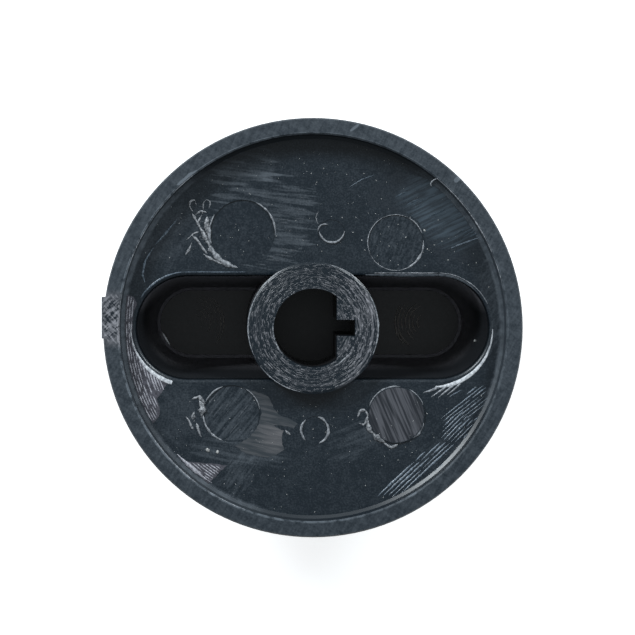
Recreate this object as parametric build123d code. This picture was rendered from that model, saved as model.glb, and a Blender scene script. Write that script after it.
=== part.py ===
from build123d import *
import os
from math import radians, tan

# Stove knob: a one-piece black plastic moulding, lying on the flat end of its bar grip.
# The knob is a shallow round skirt with a hollow bar grip standing across its front. The back faces up
# and is open: a round well inside the rim, a long pocket that cores out the grip, and a hub with a keyed
# D-shaped bore that pushes onto the tap's spindle. The mould's ejector pins and gate have left marks.
# Frame: the spindle axis is Z, the grip's end face is z = 0 and the rim is the highest plane. The grip
# runs along X and the flat of the bore is on its +X side. Sizes are in millimetres, angles in degrees.

# Overall size
RIM_DIAMETER = 42.5
KNOB_HEIGHT = 23.0

# Skirt and well
RIM_FACE_WIDTH = 1.65
RIM_EDGE_CHAMFER = 0.15
SKIRT_HEIGHT = 4.7
SKIRT_DRAFT = 3.0
SKIRT_CORNER_CHAMFER = 0.5
WELL_DEPTH = 2.4
WELL_DRAFT = 1.0
WELL_CORNER_REACH = 0.32
WELL_CORNER_RISE = 0.18

# Bar grip and the pocket that cores it out
POCKET_LENGTH = 36.0
POCKET_WIDTH = 10.5
GRIP_WALL = 1.9
GRIP_END_WALL = 2.2
GRIP_DRAFT = 4.5
GRIP_EDGE_ROUND = 1.4
GRIP_ROOT_CHAMFER = 0.45
POCKET_MOUTH_ROUND = 0.45
POCKET_FLOOR_CHAMFER = 0.3

# Hub and spindle bore
HUB_DIAMETER = 13.4
HUB_SETBACK = 0.3
HUB_DRAFT = 0.75
HUB_BEVEL_REACH = 0.25
HUB_BEVEL_DROP = 0.12
HUB_BURIAL = 0.9
BORE_DIAMETER = 8.0
BORE_FLAT_OFFSET = 2.4
BORE_DEPTH = 15.5
KEY_SLOT_WIDTH = 1.65
KEY_SLOT_REACH = 4.25

# Marks left by the mould's ejector pins: x, y, diameter, height above the well floor
EJECTOR_PINS = (
    (-7.15, 9.7, 6.6, -0.12),
    (8.45, 8.65, 5.7, -0.1),
    (-8.3, -8.8, 5.8, -0.1),
    (8.55, -8.95, 5.75, 0.18),
    (1.9, 9.6, 2.8, -0.06),
    (0.2, -10.5, 2.8, -0.06),
)

# Stub left where the gate was broken off the rim
GATE_WIDTH = 4.2
GATE_HEIGHT = 1.6
GATE_STUB = 0.12
GATE_OFFSET = 1.05

# Pointer line sunk in the grip's end face
POINTER_LENGTH = 12.0
POINTER_WIDTH = 1.4
POINTER_DEPTH = 0.4
POINTER_END_MARGIN = 2.2

# Planes and radii that follow from these sizes
RIM_RADIUS = RIM_DIAMETER / 2
WELL_MOUTH_RADIUS = RIM_RADIUS - RIM_FACE_WIDTH
WELL_CORNER_RADIUS = WELL_MOUTH_RADIUS - (WELL_DEPTH - WELL_CORNER_RISE) * tan(radians(WELL_DRAFT))
WELL_FLOOR = KNOB_HEIGHT - WELL_DEPTH
SKIRT_EDGE = KNOB_HEIGHT - SKIRT_HEIGHT
SKIRT_EDGE_RADIUS = RIM_RADIUS - SKIRT_HEIGHT * tan(radians(SKIRT_DRAFT))
HUB_FACE = KNOB_HEIGHT - HUB_SETBACK
HUB_RADIUS = HUB_DIAMETER / 2
BORE_FLOOR = HUB_FACE - BORE_DEPTH


def at_height(shapes, height):
    """The faces or edges of a list whose centres lie at one height."""
    near = 0.01
    return shapes.filter_by_position(Axis.Z, height - near, height + near)


def rings_at(solid, height):
    """Circular edges of a solid at one height."""
    return at_height(solid.edges().filter_by(GeomType.CIRCLE), height)


def narrowed(size, height):
    """A grip or pocket size at the well floor, reduced by the draft on both sides over a height."""
    return size - 2 * height * tan(radians(GRIP_DRAFT))


def tapered_slot(length, width, bottom):
    """Round-ended block from a bottom plane up to the well floor, where it has the given size."""
    height = WELL_FLOOR - bottom
    outline = SlotOverall(narrowed(length, height), narrowed(width, height))
    return extrude(Pos(0, 0, bottom) * outline, height, taper=-GRIP_DRAFT)


def skirt():
    """Skirt turned from its half section: well floor, inner wall, rim, outer wall and flat front."""
    section = Polyline(
        (0, 0, SKIRT_EDGE),
        (0, 0, WELL_FLOOR),
        (WELL_CORNER_RADIUS - WELL_CORNER_REACH, 0, WELL_FLOOR),
        (WELL_CORNER_RADIUS, 0, WELL_FLOOR + WELL_CORNER_RISE),
        (WELL_MOUTH_RADIUS, 0, KNOB_HEIGHT),
        (RIM_RADIUS, 0, KNOB_HEIGHT),
        (SKIRT_EDGE_RADIUS, 0, SKIRT_EDGE),
        close=True,
    )
    turned = revolve(make_face(section), Axis.Z)
    turned = chamfer(rings_at(turned, KNOB_HEIGHT), RIM_EDGE_CHAMFER)
    return chamfer(rings_at(turned, SKIRT_EDGE), SKIRT_CORNER_CHAMFER)


def skirt_with_grip():
    """Bar grip standing on the skirt's flat front, rounded at its end face and eased at its root."""
    bar = tapered_slot(POCKET_LENGTH + 2 * GRIP_WALL, POCKET_WIDTH + 2 * GRIP_WALL, 0)
    bar = fillet(bar.faces().sort_by(Axis.Z)[0].edges(), GRIP_EDGE_ROUND)
    joined = skirt() + bar
    front = at_height(joined.faces().filter_by(Plane.XY), SKIRT_EDGE)[0]
    root = front.inner_wires()[0]
    return chamfer(root.edges(), GRIP_ROOT_CHAMFER)


def cored(body):
    """Body with the grip cored out by the long pocket, whose mouth is rounded into the well floor."""
    space = tapered_slot(POCKET_LENGTH, POCKET_WIDTH, GRIP_END_WALL)
    space = chamfer(space.faces().sort_by(Axis.Z)[0].edges(), POCKET_FLOOR_CHAMFER)
    body = body - space
    well_floor = at_height(body.faces().filter_by(Plane.XY), WELL_FLOOR)[0]
    mouth = well_floor.inner_wires()[0]
    return fillet(mouth.edges(), POCKET_MOUTH_ROUND)


def hub():
    """Drafted hub that stands on the pocket's bottom and merges into both long walls of the grip."""
    foot = GRIP_END_WALL - HUB_BURIAL
    foot_radius = HUB_RADIUS + (HUB_FACE - foot) * tan(radians(HUB_DRAFT))
    section = Polyline(
        (0, 0, foot),
        (foot_radius, 0, foot),
        (HUB_RADIUS, 0, HUB_FACE - HUB_BEVEL_DROP),
        (HUB_RADIUS - HUB_BEVEL_REACH, 0, HUB_FACE),
        (0, 0, HUB_FACE),
        close=True,
    )
    post = revolve(make_face(section), Axis.Z)
    within_grip = tapered_slot(POCKET_LENGTH, POCKET_WIDTH + 2 * HUB_BURIAL, foot)
    head_foot = WELL_FLOOR - HUB_BURIAL
    above_floor = Pos(0, 0, head_foot) * Cylinder(
        RIM_RADIUS, KNOB_HEIGHT - head_foot, align=(Align.CENTER, Align.CENTER, Align.MIN)
    )
    return post & (within_grip + above_floor)


def spindle_bore():
    """D-shaped bore with a key slot cut through its flat."""
    flat_side = Pos(BORE_FLAT_OFFSET, 0) * Rectangle(
        BORE_DIAMETER, BORE_DIAMETER, align=(Align.MIN, Align.CENTER)
    )
    key_slot = Rectangle(KEY_SLOT_REACH, KEY_SLOT_WIDTH, align=(Align.MIN, Align.CENTER))
    outline = Circle(BORE_DIAMETER / 2) - flat_side + key_slot
    return extrude(Pos(0, 0, BORE_FLOOR) * outline, BORE_DEPTH)


def with_pin_marks(body):
    """Body with the ejector pins' round marks, sunk in the well floor or standing on it."""
    for x, y, diameter, height in EJECTOR_PINS:
        mark = Pos(x, y, WELL_FLOOR) * Cylinder(diameter / 2, 2 * abs(height))
        if height > 0:
            body = body + mark
        else:
            body = body - mark
    return body


def gate_stub():
    """Low block on the skirt's outer wall, flush with the rim, on the -X side."""
    inner_side = RIM_RADIUS - RIM_FACE_WIDTH / 2
    outer_side = RIM_RADIUS + GATE_STUB
    block = Box(
        outer_side - inner_side,
        GATE_WIDTH,
        GATE_HEIGHT,
        align=(Align.MIN, Align.CENTER, Align.MAX),
    )
    return Pos(-outer_side, GATE_OFFSET, KNOB_HEIGHT) * block


def pointer_groove():
    """Shallow round-ended groove at the grip's +X end."""
    end = narrowed(POCKET_LENGTH + 2 * GRIP_WALL, WELL_FLOOR) / 2 - POINTER_END_MARGIN
    outline = SlotOverall(POINTER_LENGTH, POINTER_WIDTH)
    return extrude(Pos(end - POINTER_LENGTH / 2, 0, 0) * outline, POINTER_DEPTH)


os.makedirs("parts", exist_ok=True)
knob = cored(skirt_with_grip()) + hub() - spindle_bore()
knob = with_pin_marks(knob) + gate_stub() - pointer_groove()
knob.label = "knob_body"
export_step(knob, "parts/knob_body.step")
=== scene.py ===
import math
import random

import bpy
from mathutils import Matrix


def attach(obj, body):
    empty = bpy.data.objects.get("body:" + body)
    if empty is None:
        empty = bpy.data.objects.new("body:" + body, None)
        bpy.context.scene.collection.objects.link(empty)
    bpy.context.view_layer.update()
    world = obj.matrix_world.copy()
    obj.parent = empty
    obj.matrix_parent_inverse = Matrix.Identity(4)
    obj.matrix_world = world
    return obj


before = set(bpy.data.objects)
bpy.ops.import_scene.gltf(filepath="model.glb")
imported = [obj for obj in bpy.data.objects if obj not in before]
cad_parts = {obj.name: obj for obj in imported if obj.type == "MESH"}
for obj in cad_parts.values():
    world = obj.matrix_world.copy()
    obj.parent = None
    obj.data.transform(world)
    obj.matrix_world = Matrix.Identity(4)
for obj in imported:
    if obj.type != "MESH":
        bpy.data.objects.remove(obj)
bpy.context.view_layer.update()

# Body: the whole knob is one black thermoplastic moulding, lying on its grip with the open back up.
# Rim and hub face are matt and scuffed. The well floor between them is smoother, with patches that the
# cutter and the polisher left in the mould, and the plastic copies them.
MILLIMETRE = 0.001
RIM_PLANE = 23.0
HUB_PLANE = 22.7
WELL_FLOOR = 20.6
HUB_RADIUS = 6.7
WELL_RADIUS = 19.24
RIM_INNER_RADIUS = 19.6
POCKET_FLOOR = 2.2
POCKET_CENTRE = 12.75
POCKET_REACH = 6.2
POCKET_TAPER = 0.0787
BORE_REACH = 4.4
UNDER_SUNK_PINS = WELL_FLOOR - 0.14
CORNER_START, CORNER_END = 18.8, 19.0
GATE_MIDDLE = 0.9
GRAIN_SIZE = 0.17
RELIEF_DEPTH = 0.03
UPPER_LEFT_PIN, UPPER_RIGHT_PIN = (-7.15, 9.7), (8.45, 8.65)
LOWER_LEFT_PIN, LOWER_RIGHT_PIN = (-8.3, -8.8), (8.55, -8.95)
DEEP_BLACK = (0.006, 0.012, 0.0185, 1.0)
SCUFFED_BLACK = (0.115, 0.135, 0.158, 1.0)
# Painted light in the pocket: a pale tint for its bottom and a paler one for its walls
POCKET_BOTTOM_PAINTED_LIGHT = (0.145, 0.128, 0.134, 1.0)
POCKET_WALL_PAINTED_LIGHT = (0.42, 0.41, 0.45, 1.0)
# Painted shade: a darker black for the pocket than for the rest of the body
POCKET_PAINTED_SHADE = (0.0065, 0.0085, 0.0110, 1.0)
HUB_PALE = (0.30, 0.298, 0.325, 1.0)

# Rubbed patches on the well floor, the pin faces and the rim, in millimetres and degrees:
# centre x, y, half length, half width, turn, edge softness, raggedness, paleness,
# and the streaks in them: turn, pitch, length over pitch, strength
FLOOR_PATCHES = (
    (-7.0, 16.5, 3.4, 1.9, -6, 0.25, 0.90, 0.15, -7, 0.55, 9, 0.30),
    (-4.9, 11.1, 4.8, 4.3, -4, 0.25, 1.00, 0.16, -7, 0.40, 12, 0.28),
    (-7.6, -12.9, 5.2, 1.3, -9, 0.45, 0.60, 0.14, -9, 0.45, 12, 0.22),
    (-7.6, -15.0, 2.6, 1.6, 55, 0.40, 0.60, 0.10, 55, 0.40, 5, 0.25),
    (4.4, -11.7, 3.5, 1.9, 12, 0.50, 0.70, 0.12, 20, 0.55, 8, 0.16),
    (14.6, -10.6, 7.6, 2.7, 48, 0.50, 0.30, 0.02, 42, 0.45, 20, 0.12),
    (-13.6, -8.8, 3.4, 3.4, 30, 0.60, 0.40, 0.10, -50, 0.60, 6, 0.08),
    (-14.6, 9.4, 3.0, 4.6, -35, 0.60, 0.40, 0.10, 60, 0.60, 6, 0.10),
    # The last patch is partly painted light: it lifts the floor beside the wall at +X out of shade, and its
    # streaks give the pale specks there
    (18.4, 3.0, 1.6, 7.0, 0, 0.60, 0.40, 0.14, 60, 0.30, 3, 0.16),
)
PIN_FACE_PATCHES = (
    (*LOWER_LEFT_PIN, 2.8, 2.8, 0, 0.05, 0.00, 0.13, 50, 0.40, 14, 0.26),
    (*UPPER_RIGHT_PIN, 2.8, 2.8, 0, 0.05, 0.00, 0.06, 70, 0.28, 4, 0.16),
)
RIM_PATCHES = (
    (0.0, 0.0, 30.0, 30.0, 0, 0.05, 0.00, 0.00, 61, 0.30, 7, 0.10),
    (0.0, 0.0, 30.0, 30.0, 0, 0.05, 0.00, 0.00, -35, 0.50, 9, 0.08),
    (4.15, 20.25, 0.60, 0.16, 38, 0.30, 0.30, 0.50, 38, 0.30, 6, 0.30),
    (14.5, 15.0, 0.36, 0.26, 35, 0.30, 0.30, 0.60, 35, 0.30, 4, 0.20),
    (-20.4, 1.1, 1.10, 2.30, 0, 0.20, 0.50, 0.02, 42, 0.22, 5, 0.60),
    (-20.3, 0.8, 1.00, 2.60, 0, 0.30, 0.60, 0.04, -48, 0.22, 5, 0.60),
    (-12.7, 15.2, 1.30, 0.24, 40, 0.30, 0.60, 0.80, 40, 0.30, 4, 0.30),
    (10.0, -16.8, 0.60, 0.30, 30, 0.30, 0.50, 0.50, 30, 0.30, 4, 0.30),
    (17.6, -11.9, 2.20, 0.16, 56, 0.40, 0.50, 0.50, 56, 0.30, 8, 0.30),
)


def add_node(tree, kind, inputs=None, **settings):
    """A new node. An input takes a value, or another node's output to be joined to it."""
    node = tree.nodes.new(kind)
    for name, value in settings.items():
        setattr(node, name, value)
    for key, value in (inputs or {}).items():
        if isinstance(value, bpy.types.NodeSocket):
            tree.links.new(value, node.inputs[key])
        else:
            node.inputs[key].default_value = value
    return node


def calc(tree, operation, first, second=0.0, third=0.0):
    """The result of one sum on numbers or outputs."""
    inputs = {0: first, 1: second, 2: third}
    return add_node(tree, "ShaderNodeMath", inputs, operation=operation).outputs[0]


def product(tree, *factors):
    """Several masks or numbers multiplied."""
    result = factors[0]
    for factor in factors[1:]:
        result = calc(tree, "MULTIPLY", result, factor)
    return result


def inverse(tree, mask):
    """What a mask leaves out."""
    return calc(tree, "SUBTRACT", 1.0, mask)


def calc_vector(tree, operation, first, second):
    """The result of one sum on vectors."""
    return add_node(tree, "ShaderNodeVectorMath", {0: first, 1: second}, operation=operation).outputs[0]


def noise(tree, place, scale, detail, roughness=0.5):
    """Soft random values around a half."""
    inputs = {"Vector": place, "Scale": scale, "Detail": detail, "Roughness": roughness}
    return add_node(tree, "ShaderNodeTexNoise", inputs).outputs[0]


def ramp(tree, value, low, high, out_low=0.0, out_high=1.0):
    """A smooth step from out_low to out_high as value goes from low to high."""
    inputs = {"Value": value, "From Min": low, "From Max": high, "To Min": out_low, "To Max": out_high}
    return add_node(tree, "ShaderNodeMapRange", inputs, interpolation_type="SMOOTHSTEP").outputs[0]


def blend_colours(tree, factor, first, second):
    """A colour between two, by a factor from 0 to 1."""
    mix = add_node(tree, "ShaderNodeMix", {0: factor}, data_type="RGBA")
    for socket, colour in zip((mix.inputs[6], mix.inputs[7]), (first, second)):
        if isinstance(colour, bpy.types.NodeSocket):
            tree.links.new(colour, socket)
        else:
            socket.default_value = colour
    return mix.outputs[2]


def new_group(name, inputs, outputs):
    """An empty shader node group with named sockets: (group, its input node's outputs, its end node)."""
    group = bpy.data.node_groups.new(name, "ShaderNodeTree")
    for label, kind, value in inputs:
        socket = group.interface.new_socket(label, in_out="INPUT", socket_type=kind)
        socket.default_value = value
    for label in outputs:
        group.interface.new_socket(label, in_out="OUTPUT", socket_type="NodeSocketFloat")
    start = group.nodes.new("NodeGroupInput").outputs
    end = group.nodes.new("NodeGroupOutput")
    return group, start, end


def place_group(tree, group, inputs):
    """The outputs of a group placed in a material."""
    return add_node(tree, "ShaderNodeGroup", inputs, node_tree=group).outputs


# Fine grain of a plastic surface: a speckle about a tenth of a millimetre across, and slow clouding
grain_group, start, end = new_group(
    "moulding grain",
    (("Position", "NodeSocketVector", (0, 0, 0)), ("Grain", "NodeSocketFloat", 0.16)),
    ("Speckle", "Cloud"),
)
fineness = calc(grain_group, "DIVIDE", 1.0, start["Grain"])
grain_group.links.new(noise(grain_group, start["Position"], fineness, 2.0, 0.6), end.inputs["Speckle"])
grain_group.links.new(noise(grain_group, start["Position"], 0.22, 3.0, 0.55), end.inputs["Cloud"])


def turned_back(tree, place, turn):
    """A place turned back round the axis by an angle."""
    inputs = {"Vector": place, "Angle": calc(tree, "MULTIPLY", turn, -1.0)}
    return add_node(tree, "ShaderNodeVectorRotate", inputs, rotation_type="Z_AXIS").outputs[0]


# Rubbed patch: an oblong with a soft or torn edge, and the streaks that a tool drew across it.
# The tears follow the streaks, so the patch ends in fingers.
patch_group, start, end = new_group(
    "rubbed patch",
    (
        ("Position", "NodeSocketVector", (0, 0, 0)),
        ("Centre", "NodeSocketVector", (0, 0, 0)),
        ("Half Size", "NodeSocketVector", (1, 1, 1)),
        ("Turn", "NodeSocketFloat", 0.0),
        ("Softness", "NodeSocketFloat", 0.3),
        ("Raggedness", "NodeSocketFloat", 0.3),
        ("Streak Turn", "NodeSocketFloat", 0.0),
        ("Pitch", "NodeSocketFloat", 0.4),
        ("Length", "NodeSocketFloat", 10.0),
    ),
    ("Mask", "Lines"),
)
turned = turned_back(patch_group, start["Position"], start["Streak Turn"])
across = calc(patch_group, "DIVIDE", 1.0, start["Pitch"])
along = calc(patch_group, "DIVIDE", across, start["Length"])
stretch = add_node(patch_group, "ShaderNodeCombineXYZ", {0: along, 1: across, 2: 1.0}).outputs[0]
streaks = noise(patch_group, calc_vector(patch_group, "MULTIPLY", turned, stretch), 1.0, 2.0, 0.55)
patch_group.links.new(ramp(patch_group, streaks, 0.36, 0.66), end.inputs["Lines"])

offset = calc_vector(patch_group, "SUBTRACT", start["Position"], start["Centre"])
turned = turned_back(patch_group, offset, start["Turn"])
relative = calc_vector(patch_group, "DIVIDE", turned, start["Half Size"])
sides = add_node(patch_group, "ShaderNodeSeparateXYZ", {0: relative}).outputs
cubes = [
    calc(patch_group, "POWER", calc(patch_group, "ABSOLUTE", side), 3.0) for side in (sides[0], sides[1])
]
reach = calc(patch_group, "POWER", calc(patch_group, "ADD", *cubes), 1 / 3)
tear = product(patch_group, calc(patch_group, "SUBTRACT", streaks, 0.5), start["Raggedness"])
reach = calc(patch_group, "MULTIPLY_ADD", tear, -2.0, reach)
inner = inverse(patch_group, start["Softness"])
patch_group.links.new(ramp(patch_group, reach, inner, 1.0, 1.0, 0.0), end.inputs["Mask"])


def new_material(name):
    """An empty material: (material, tree, position in millimetres, shader)."""
    material = bpy.data.materials.new(name)
    material.use_nodes = True
    tree = material.node_tree
    tree.nodes.clear()
    coords = add_node(tree, "ShaderNodeTexCoord").outputs["Object"]
    to_millimetres = (1 / MILLIMETRE,) * 3
    position = add_node(tree, "ShaderNodeMapping", {"Vector": coords, "Scale": to_millimetres}).outputs[0]
    shader = add_node(tree, "ShaderNodeBsdfPrincipled")
    end = add_node(tree, "ShaderNodeOutputMaterial")
    tree.links.new(shader.outputs[0], end.inputs[0])
    return material, tree, position, shader


def set_finish(tree, shader, colour, roughness):
    """Gives a shader a colour and a roughness that change over the surface."""
    tree.links.new(colour, shader.inputs["Base Color"])
    tree.links.new(roughness, shader.inputs["Roughness"])


body_plastic, tree, position, shader = new_material("black_moulded_plastic")
x, y, z = add_node(tree, "ShaderNodeSeparateXYZ", {0: position}).outputs
flat = add_node(tree, "ShaderNodeCombineXYZ", {0: x, 1: y}).outputs[0]
radius = add_node(tree, "ShaderNodeVectorMath", {0: flat}, operation="LENGTH").outputs["Value"]

# Where the rim, the hub's face, the pocket and the well floor are
on_rim = ramp(tree, z, RIM_PLANE - 0.30, RIM_PLANE - 0.18)
inside_hub = calc(tree, "LESS_THAN", radius, HUB_RADIUS + 0.1)
on_hub = product(tree, ramp(tree, z, HUB_PLANE - 0.15, HUB_PLANE - 0.05), inside_hub)
past_centre = calc(tree, "MAXIMUM", calc(tree, "SUBTRACT", calc(tree, "ABSOLUTE", x), POCKET_CENTRE), 0.0)
from_axis = add_node(tree, "ShaderNodeCombineXYZ", {0: past_centre, 1: y}).outputs[0]
from_axis = add_node(tree, "ShaderNodeVectorMath", {0: from_axis}, operation="LENGTH").outputs["Value"]
half_gap = calc(tree, "MULTIPLY_ADD", z, POCKET_TAPER, POCKET_REACH - WELL_FLOOR * POCKET_TAPER)
in_pocket = product(
    tree,
    calc(tree, "LESS_THAN", from_axis, half_gap),
    calc(tree, "LESS_THAN", z, UNDER_SUNK_PINS),
    calc(tree, "GREATER_THAN", z, POCKET_FLOOR - 0.5),
)
above_pins = calc(tree, "GREATER_THAN", z, UNDER_SUNK_PINS)
below_corner = calc(tree, "LESS_THAN", radius, WELL_RADIUS)
below_hub = calc(tree, "LESS_THAN", z, WELL_FLOOR + 0.25)
on_floor = product(tree, above_pins, below_corner, below_hub)

grain = place_group(tree, grain_group, {"Position": position, "Grain": GRAIN_SIZE})
speckle, cloud = grain["Speckle"], grain["Cloud"]
direction = add_node(tree, "ShaderNodeVectorMath", {0: flat}, operation="NORMALIZE").outputs[0]


def turning_marks(fineness, breaks):
    """Noise drawn out round the axis: rings that are fine across and broken along their way."""
    along = add_node(tree, "ShaderNodeVectorMath", {0: direction, "Scale": breaks}, operation="SCALE")
    side, front, _ = add_node(tree, "ShaderNodeSeparateXYZ", {0: along.outputs[0]}).outputs
    place = {0: product(tree, radius, fineness), 1: side, 2: front}
    place = add_node(tree, "ShaderNodeCombineXYZ", place).outputs[0]
    return noise(tree, place, 1.0, 3.0, 0.6)


rings = ramp(tree, turning_marks(5.0, 1.6), 0.46, 0.62)
broken_rings = ramp(tree, turning_marks(6.5, 12.0), 0.51, 0.65)


def add_patches(patches, zone, scuff):
    """Adds rubbed patches within a zone of the surface to its scuff."""
    for patch in patches:
        centre_x, centre_y, half_length, half_width, turn, softness, raggedness, paleness = patch[:8]
        streak_turn, pitch, length, strength = patch[8:]
        marks = place_group(tree, patch_group, {
            "Position": flat, "Centre": (centre_x, centre_y, 0), "Half Size": (half_length, half_width, 1),
            "Turn": math.radians(turn), "Softness": softness, "Raggedness": raggedness,
            "Streak Turn": math.radians(streak_turn), "Pitch": pitch, "Length": length,
        })
        mask = product(tree, marks["Mask"], zone)
        tone = calc(tree, "MULTIPLY_ADD", marks["Lines"], strength, paleness - strength / 2)
        scuff = calc(tree, "MULTIPLY_ADD", mask, tone, scuff)
    return scuff


# How scuffed the well floor, the rim and the hub's face are
mottle = noise(tree, position, 1.3, 4.0, 0.6)
level_floor = calc(tree, "COMPARE", z, WELL_FLOOR, 0.02)
floor_scuff = calc(tree, "MULTIPLY_ADD", cloud, 0.12, -0.46)
floor_scuff = calc(tree, "MULTIPLY_ADD", mottle, 0.30, floor_scuff)
floor_scuff = calc(tree, "MULTIPLY_ADD", speckle, 0.60, floor_scuff)
rim_scuff = calc(tree, "MULTIPLY_ADD", speckle, 0.42, -0.14)
rim_scuff = calc(tree, "MULTIPLY_ADD", mottle, 0.40, rim_scuff)
# The rim is a little darker towards -Y
rim_scuff = calc(tree, "ADD", rim_scuff, ramp(tree, y, -20.0, 0.0, -0.06, 0.0))
hub_grain = calc(tree, "MULTIPLY_ADD", broken_rings, 0.50, product(tree, rings, 0.30))
contrast = ramp(tree, calc(tree, "ABSOLUTE", x), 1.5, 5.0, 0.40, 0.85)
contrast = calc(tree, "ADD", contrast, ramp(tree, x, 1.5, 5.0, 0.0, 0.30))
hub_base = calc(tree, "ADD", ramp(tree, x, -5.0, -1.5, -0.18, -0.045), ramp(tree, x, 1.5, 5.0, 0.0, 0.015))
hub_base = calc(tree, "ADD", hub_base, ramp(tree, y, -5.0, -2.0, 0.025, 0.0))
hub_scuff = calc(tree, "MULTIPLY_ADD", hub_grain, contrast, hub_base)

# Painted light in the pocket: a paler colour on its bottom, in the corner round it, and on the low and
# the far part of its wall lifts them out of shade; the bore gets less of it
in_bore = calc(tree, "LESS_THAN", radius, BORE_REACH)
above_bottom = ramp(tree, z, POCKET_FLOOR + 0.005, POCKET_FLOOR + 0.03)
on_wall = product(tree, above_bottom, inverse(tree, in_bore))
bottom_painted_light = calc(tree, "MULTIPLY_ADD", in_bore, -0.13, 0.25)
pocket_corner_painted_light = ramp(tree, z, POCKET_FLOOR + 0.3, POCKET_FLOOR + 0.6, 1.0, 0.0)
low_wall_painted_light = ramp(tree, z, POCKET_FLOOR + 0.5, POCKET_FLOOR + 12.5, 0.65, 0.015)
far_wall_painted_light = ramp(tree, y, 1.0, 4.0, 0.0, 0.45)
wall_painted_light = calc(tree, "MAXIMUM", calc(tree, "MAXIMUM", low_wall_painted_light, far_wall_painted_light), pocket_corner_painted_light)
pocket_painted_light = calc(tree, "MULTIPLY_ADD", calc(tree, "SUBTRACT", wall_painted_light, bottom_painted_light), on_wall, bottom_painted_light)
below_mouth = product(tree, in_pocket, calc(tree, "LESS_THAN", z, WELL_FLOOR - 0.7))
pocket_painted_light = product(tree, pocket_painted_light, ramp(tree, mottle, 0.2, 0.8, 0.7, 1.3), below_mouth)

# The outside of the skirt and the grip, which is evenly matt
off_pocket = product(
    tree,
    calc(tree, "LESS_THAN", z, WELL_FLOOR - 1.0),
    inverse(tree, in_pocket),
    calc(tree, "GREATER_THAN", radius, BORE_REACH),
)
outside = calc(tree, "MAXIMUM", calc(tree, "GREATER_THAN", radius, RIM_INNER_RADIUS + 0.7), off_pocket)
outside = product(tree, outside, inverse(tree, on_rim))
outside_scuff = calc(tree, "MULTIPLY_ADD", mottle, 0.24, calc(tree, "MULTIPLY_ADD", speckle, 0.30, -0.19))
zones = ((on_rim, rim_scuff), (on_hub, hub_scuff), (on_floor, floor_scuff), (outside, outside_scuff))
scuff = 0.0
for zone, amount in zones:
    scuff = calc(tree, "MULTIPLY_ADD", zone, amount, scuff)

# Painted highlight along the rim's inner edge, broken by mottling and strongest on the -X side
past_edge = ramp(tree, radius, RIM_INNER_RADIUS - 0.08, RIM_INNER_RADIUS)
before_face = ramp(tree, radius, RIM_INNER_RADIUS + 0.17, RIM_INNER_RADIUS + 0.25, 1.0, 0.0)
high_up = ramp(tree, z, RIM_PLANE - 0.3, RIM_PLANE - 0.15)
corner = product(tree, past_edge, before_face, high_up)
rim_edge_painted_highlight = product(tree, ramp(tree, mottle, 0.35, 0.6), ramp(tree, x, -17.0, 8.0, 0.8, 0.25))
scuff = calc(tree, "MULTIPLY_ADD", corner, rim_edge_painted_highlight, scuff)

# Painted light in the corner at the foot of the well's wall: a paler mottled colour on both sides,
# where the wall's shade falls, and a painted highlight at the lower left
outward = add_node(tree, "ShaderNodeSeparateXYZ", {0: direction}).outputs[1]
beside = calc(tree, "MAXIMUM", ramp(tree, outward, -0.50, -0.38), ramp(tree, x, -8.0, -3.0, 0.8, 0.0))
beside = product(tree, ramp(tree, outward, 0.72, 0.90, 1.0, 0.0), beside)
on_corner = product(
    tree,
    ramp(tree, radius, WELL_RADIUS - 0.3, WELL_RADIUS),
    inverse(tree, on_rim),
    calc(tree, "LESS_THAN", radius, RIM_INNER_RADIUS + 0.03),
    calc(tree, "GREATER_THAN", z, WELL_FLOOR - 0.05),
    ramp(tree, z, WELL_FLOOR + 0.15, WELL_FLOOR + 0.5, 1.0, 0.5),
)
well_corner_painted_light = product(tree, beside, ramp(tree, mottle, 0.3, 0.7, 0.25, 0.65))
scuff = calc(tree, "MULTIPLY_ADD", on_corner, well_corner_painted_light, scuff)

# Relief of the grain and the turning rings, then the colour and the gloss of the whole body
relief = product(tree, speckle, 0.25)
relief = calc(tree, "MULTIPLY_ADD", on_hub, calc(tree, "MULTIPLY_ADD", broken_rings, 1.2, rings), relief)
relief = calc(tree, "MULTIPLY_ADD", on_rim, product(tree, speckle, 0.6), relief)
scuff = add_patches(FLOOR_PATCHES, level_floor, scuff)
scuff = add_patches(PIN_FACE_PATCHES, on_floor, scuff)
scuff = add_patches(RIM_PATCHES, on_rim, scuff)
# The pocket's painted light: a pale tint on its bottom and a paler one on its walls
dust = blend_colours(tree, on_wall, POCKET_BOTTOM_PAINTED_LIGHT, POCKET_WALL_PAINTED_LIGHT)
past_gate = ramp(tree, x, -RIM_INNER_RADIUS, -RIM_INNER_RADIUS + 0.4, 1.0, 0.0)
beside_gate = calc(tree, "ABSOLUTE", calc(tree, "SUBTRACT", y, GATE_MIDDLE))
at_gate = product(tree, past_gate, ramp(tree, beside_gate, 2.2, 3.2, 1.0, 0.0))
paler = calc(tree, "MAXIMUM", on_hub, product(tree, at_gate, on_rim))
pale = blend_colours(tree, paler, SCUFFED_BLACK, HUB_PALE)
colour = blend_colours(tree, scuff, DEEP_BLACK, pale)
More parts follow.
